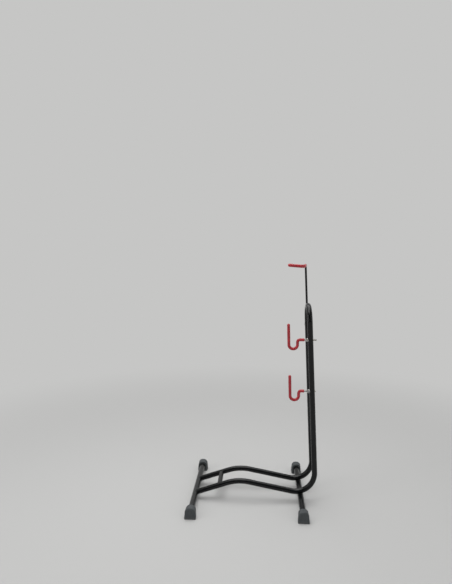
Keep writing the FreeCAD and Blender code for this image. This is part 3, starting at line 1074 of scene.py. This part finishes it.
def rod_bush_surface():
    """The bush's lip, which follows the arch. The arch's tube at the level L is a ring of
    radius A about its centre, so p along the arch's width and q across the tube it stands
    sqrt((A + sqrt(L^2 - q^2))^2 - p^2) above that centre."""
    top = hoop_radius + bush_lip_rise
    rings = [
        (bush_lip_radius, bush_lip_floor),
        (bush_lip_radius, top - 0.5),
        (bush_lip_radius - 0.1, top - 0.2),
        (bush_lip_radius - 0.4, top),
        (rod_radius + 0.5, top),
        (rod_radius + 0.15, top - 0.2),
        (rod_radius + 0.05, bush_lip_floor),
    ]
    spring = column_point(arch_height, far) - arch_radius * column_up
    spring[1] = 0
    second = np.cross(column_up, Y)
    rings = np.array(rings)[:, :, None]
    a = ring_angles(72)[None]
    p = side_y + rings[:, 0] * np.cos(a)
    q = rings[:, 0] * np.sin(a)
    height = np.sqrt((arch_radius + np.sqrt(rings[:, 1] ** 2 - q ** 2)) ** 2 - p ** 2)
    grid = spring + p[..., None] * Y + q[..., None] * second + height[..., None] * column_up
    return surface(grid)


def lock_boss_surface():
    """A short turned boss with a chamfered mouth."""
    top = hoop_radius + boss_height
    hole = lock_screw_radius + 0.1
    rings = [
        (boss_floor, boss_radius),
        (top - 0.5, boss_radius),
        (top - 0.15, boss_radius - 0.15),
        (top, boss_radius - 0.5),
        (top, hole + 0.5),
        (top - 0.4, hole),
        (boss_floor + 1, hole),
    ]
    return surface(turned(lock_axis(side_y), Y, X, rings))


def lock_screw_surface():
    """The screw's threaded shank, from the nylon pad to inside the knob."""
    sides = 48
    length = np.arange(0, lock_screw_end - lock_screw_start, thread_step)
    threads = thread_radii(length, lock_screw_radius, sides)
    return surface(stacked(lock_axis(lock_screw_start), Y, X, length, threads, sides))


def knob_surface():
    """A round knob with six scallops: near each one the outline is c cos(a) -
    sqrt(s^2 - c^2 sin(a)^2) from the axis, for a scallop of radius s at the distance c, and
    the two meet in a small round. The edges turn in by a quarter circle, and the outer face
    has a dished ring and a cap."""
    a = ring_angles(144)
    step = 2 * np.pi / knob_scallops
    nearest = (a + step / 2) % step - step / 2
    centre = knob_radius + knob_scallop / 2
    under = knob_scallop ** 2 - (centre * np.sin(nearest)) ** 2
    scallop = centre * np.cos(nearest) - np.sqrt(np.clip(under, 0, None))
    scallop = np.where(under > 0, scallop, knob_radius + 1)
    sharpness = 2.2
    soft = -np.log(np.exp(-sharpness * scallop) + np.exp(-sharpness * knob_radius)) / sharpness
    outline = np.minimum(soft, knob_radius)
    t = np.linspace(0, np.pi / 2, 7)
    edge = list(zip(knob_edge * (1 - np.cos(t)), outline - knob_edge * (1 - np.sin(t[:, None]))))
    rings = [(0, lock_screw_radius + 0.1), (0, 6.0), *edge]
    rings += [(knob_length - length, radius) for length, radius in edge[::-1]]
    rings += [
        (knob_length, 7.2),
        (knob_length - knob_dish, 6.8),
        (knob_length - knob_dish, 5.2),
        (knob_length - 0.1, 4.8),
        (knob_length, 4.4),
        (knob_length, 1.0),
    ]
    return surface(turned(lock_axis(knob_start), Y, X, rings, outline))


for node, shape, material, body, slot in (
    ("extension_rod", rod_surface(), rod_coat, "extension", "rod_paint"),
    ("top_hook_sleeve", top_sleeve_surface(), vinyl, "extension", "red_vinyl"),
    ("rod_bush", rod_bush_surface(), bush_nylon, "frame", "bush_plastic"),
    ("lock_boss", lock_boss_surface(), hoop_coat, "frame", "hoop_paint"),
    ("lock_screw", lock_screw_surface(), zinc, "lock_screw", "zinc_steel"),
    ("lock_knob", knob_surface(), knob_nylon, "lock_screw", "knob_plastic"),
):
    make_piece(node + "_finished", [shape], material, body, [node], fitting_edge)

# The pieces inside the far column keep their CAD shape
for node, material in (("rod_guide", pale_nylon), ("lock_pad", pale_nylon), ("rod_clip", zinc)):
    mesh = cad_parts[node].data
    mesh.materials.clear()
    mesh.materials.append(material)


# The studio


def studio_floor():
    """A pale floor that fades to the backdrop's colour far out. Cameras, glossy and clear
    surfaces see the backdrop as it is written, and the floor keeps its shadows."""
    half = floor_width / 2
    corners = [(-half, -half, 0), (half, -half, 0), (half, half, 0), (-half, half, 0)]
    mesh = bpy.data.meshes.new("studio_floor")
    mesh.from_pydata(corners, [], [(0, 1, 2, 3)])
    floor = add_object("studio_floor", mesh)
    material, tree, place = start_material(
        "painted_floor", {"Base Color": linear(floor_colour), "Roughness": 0.75}
    )
    backdrop = add_node(tree, "ShaderNodeEmission", {"Color": linear(backdrop_colour)})
    far_out = add_node(tree, "ShaderNodeVectorMath", {0: place}, {"operation": "LENGTH"})
    share = ramp(tree, far_out.outputs["Value"], fade_start, fade_end, 0, 1, soft=True)
    paint = tree.nodes["Principled BSDF"]
    seen = mixed_shader(tree, share, paint.outputs[0], backdrop.outputs[0])
    tree.links.new(seen, tree.nodes["Material Output"].inputs["Surface"])
    mesh.materials.append(material)


def studio_world():
    """A backdrop of one pale colour for camera and clear rays. Glossy surfaces see it too,
    and the darker room in front of it. A weaker white light fills the rest."""
    world = bpy.data.worlds.new("studio")
    bpy.context.scene.world = world
    world.use_nodes = True
    tree = world.node_tree
    fill = tree.nodes["Background"]
    fill.inputs["Color"].default_value = linear("#ffffff")
    fill.inputs["Strength"].default_value = fill_strength
    backdrop = add_node(tree, "ShaderNodeBackground", {"Color": linear(backdrop_colour)})
    direction = add_node(tree, "ShaderNodeTexCoord").outputs["Generated"]
    behind = ramp(tree, component(tree, direction, "Y"), -0.7, 0.5, 0, 1, soft=True)
    room = mixed(tree, behind, linear(room_colour), linear(backdrop_colour))
    mirrored = add_node(tree, "ShaderNodeBackground", {"Color": room})
    rays = add_node(tree, "ShaderNodeLightPath").outputs
    lit = mixed_shader(tree, rays["Is Glossy Ray"], fill.outputs[0], mirrored.outputs[0])
    plain = maths(tree, "MAXIMUM", rays["Is Camera Ray"], rays["Is Transmission Ray"])
    seen = mixed_shader(tree, plain, lit, backdrop.outputs[0])
    tree.links.new(seen, tree.nodes["World Output"].inputs["Surface"])


def softbox(name, place, aim, width, height, power):
    """A rectangular area lamp turned to a point."""
    lamp = bpy.data.lights.new(name, "AREA")
    lamp.shape = "RECTANGLE"
    lamp.size = width
    lamp.size_y = height
    lamp.energy = power
    holder = add_object(name, lamp)
    holder.location = place
    back = Vector(place) - Vector(aim)
    holder.rotation_euler = back.to_track_quat("Z", "Y").to_euler()


def studio_camera():
    """The photograph's view: 1.9 m away and 0.95 m up, looking slightly down."""
    camera = bpy.data.cameras.new("camera")
    camera.lens = camera_lens
    camera.sensor_width = camera_sensor
    holder = add_object("camera", camera)
    holder.location = camera_place
    holder.rotation_euler = (math.radians(camera_tilt), 0, math.radians(camera_turn))
    bpy.context.scene.camera = holder


# Metres, degrees and, for the lens, millimetres
floor_width = 18.0
fade_start = 0.6
fade_end = 2.2
floor_colour = "#bebebd"
backdrop_colour = "#c6c6c5"
room_colour = "#3c3c3c"
fill_strength = 0.36
camera_place = (0.0268, -1.8753, 0.954)
camera_tilt = 84.89
camera_turn = 4.05
camera_lens = 30.822
camera_sensor = 36

studio_floor()
studio_world()
studio_camera()
softbox("top_softbox", (-0.2, 0.1, 2.6), (0, 0, 0.3), 2.8, 2.2, 56)
softbox("left_softbox", (-2.3, -1.4, 1.3), (0.1, 0, 0.4), 0.7, 1.8, 13)
softbox("right_softbox", (2.2, -1.6, 1.5), (0.1, 0, 0.4), 0.5, 1.6, 8)

bpy.context.scene.view_settings.view_transform = "Standard"
